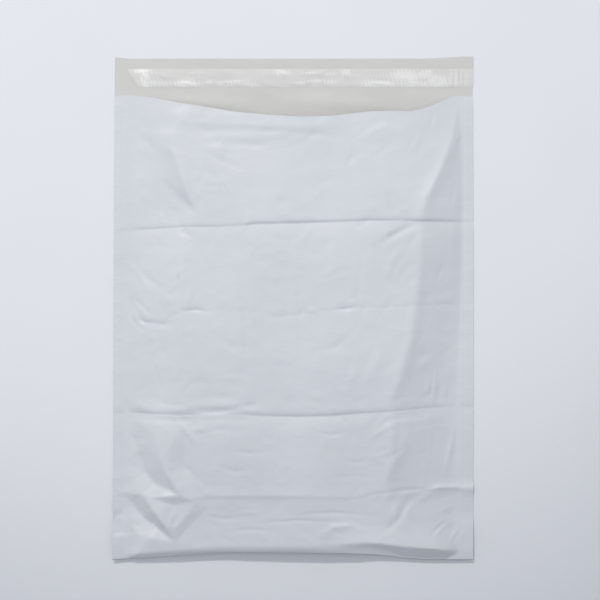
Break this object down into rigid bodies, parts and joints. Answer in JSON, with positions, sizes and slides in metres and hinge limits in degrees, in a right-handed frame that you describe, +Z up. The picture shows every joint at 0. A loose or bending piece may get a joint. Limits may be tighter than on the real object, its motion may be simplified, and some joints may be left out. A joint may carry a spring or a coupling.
{
  "type": "poly mailer bag",
  "caption": "Flat shipping bag of thin plastic film with welded sides, a folded bottom and an open mouth under a flap with a glue stripe and its release liner.",
  "frame": {"origin": "on the surface that the bag lies on, under the centre of its overall length and width", "axes": "+Y along the bag from the bottom fold to the flap's free edge, +X across it to the right as it is read with the flap up, +Z up out of the front panel"},
  "size_m": [0.4, 0.554, 0.0156],
  "materials": {
    "film": "satin white co-extruded polyethylene film, warm grey on the inside",
    "glue": "clear hot-melt glue, tacky and glossy",
    "liner": "clear siliconed release film, glossy and wrinkled"
  },
  "bodies": {
    "root": {"bag_film": "film", "glue_stripe": "glue", "release_liner": "liner"}
  },
  "joints": []
}
